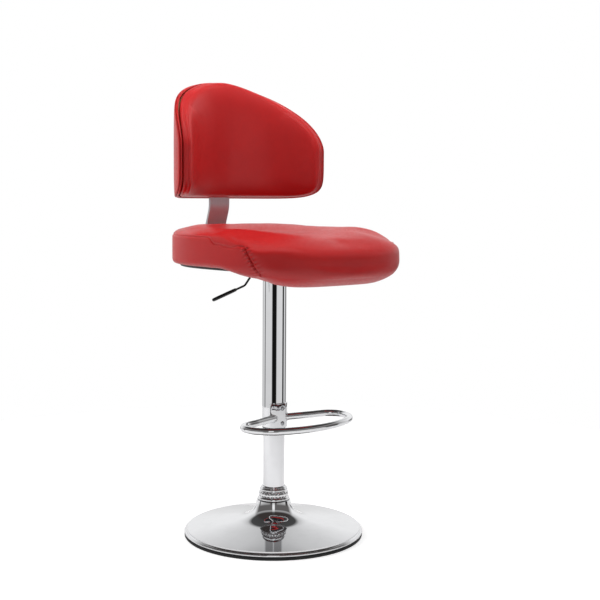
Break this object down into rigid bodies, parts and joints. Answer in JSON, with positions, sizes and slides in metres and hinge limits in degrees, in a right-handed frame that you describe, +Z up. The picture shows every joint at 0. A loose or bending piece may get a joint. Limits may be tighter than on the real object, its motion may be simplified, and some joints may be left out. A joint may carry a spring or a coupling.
{
  "type": "adjustable swivel stool",
  "caption": "Bar stool with a padded seat and wrap-around backrest on a height-adjustable swivelling column, a ring footrest and a round trumpet base.",
  "frame": {"origin": "on the floor, on the column's axis, which is within 6 mm of the middle of the part's box seen from above", "axes": "+Z up along the column; the stool faces -Y; +X is the sitter's left"},
  "size_m": [0.43, 0.4694, 0.98],
  "materials": {
    "chrome": "polished",
    "strap_steel": "satin",
    "zinc": "satin",
    "black_steel": "satin",
    "rubber": "matte",
    "black_plastic": "satin",
    "nylon": "satin",
    "plywood": "matte",
    "red_leather": "satin",
    "black_fabric": "matte"
  },
  "bodies": {
    "base": {"base_dish": "chrome", "base_rubber_ring": "rubber", "base_plate": "zinc", "column_foot_flange": "zinc", "base_bolt_1": "zinc", "base_bolt_2": "zinc", "base_bolt_3": "zinc", "base_bolt_4": "zinc", "base_collar": "chrome", "lower_column_tube": "chrome", "top_guide_bush": "nylon", "bearing_race_fixed": "zinc"},
    "spindle": {"gas_rod": "chrome", "gas_piston": "zinc", "bearing_race_turning": "zinc", "bump_stop": "rubber", "rod_washer": "zinc", "rod_clip": "black_steel"},
    "seat": {"upper_column_tube": "chrome", "mouth_guide_bush": "black_plastic", "tube_cap": "zinc", "gas_cylinder": "black_steel", "cylinder_gland": "zinc", "footrest_saddle": "chrome", "footrest_screw_1": "chrome", "footrest_screw_2": "chrome", "footrest_loop": "chrome", "seat_mount_plate": "black_steel", "seat_bolt_1": "zinc", "seat_bolt_2": "zinc", "seat_bolt_3": "zinc", "seat_bolt_4": "zinc", "taper_hub": "black_steel", "lever_bracket": "black_steel", "lever_pivot_pin": "zinc", "lever_pivot_clip": "zinc", "seat_cushion": "red_leather", "seat_board": "plywood", "dust_cover": "black_fabric", "back_strap": "strap_steel", "strap_bolt_1": "zinc", "strap_bolt_2": "zinc", "strap_bolt_3": "zinc", "back_screw_1": "zinc", "back_screw_2": "zinc", "back_screw_3": "zinc", "back_screw_4": "zinc", "back_cushion": "red_leather", "back_board": "plywood", "back_panel": "red_leather"},
    "lever": {"lever_rod": "black_steel", "lever_grip": "black_plastic"},
    "release_pin": {"release_pin": "zinc"},
    "bearing_cage": {"bearing_ball_cage": "zinc"}
  },
  "joints": [
    {"name": "seat_swivel", "type": "hinge", "parent": "base", "child": "spindle", "pos_m": [0, 0, 0.0372], "axis": [0, 0, 1], "continuous": true},
    {"name": "height_lift", "type": "slide", "parent": "spindle", "child": "seat", "axis": [0, 0, 1], "range_m": [0, 0.21]},
    {"name": "lever_pull", "type": "hinge", "parent": "seat", "child": "lever", "pos_m": [-0.0298, 0, 0.573], "axis": [0, 1, 0], "range_deg": [0, 4.2], "stiffness_Nm_per_rad": 0.6},
    {"name": "release_press", "type": "slide", "parent": "seat", "child": "release_pin", "axis": [0, 0, -1], "range_m": [0, 0.0022]},
    {"name": "bearing_roll", "type": "hinge", "parent": "base", "child": "bearing_cage", "pos_m": [0, 0, 0.0326], "axis": [0, 0, 1], "continuous": true}
  ],
  "couplings": [
    {"joint": "release_press", "follows": "lever_pull", "m_per_rad": 0.0298},
    {"joint": "bearing_roll", "follows": "seat_swivel", "ratio": 0.5}
  ]
}
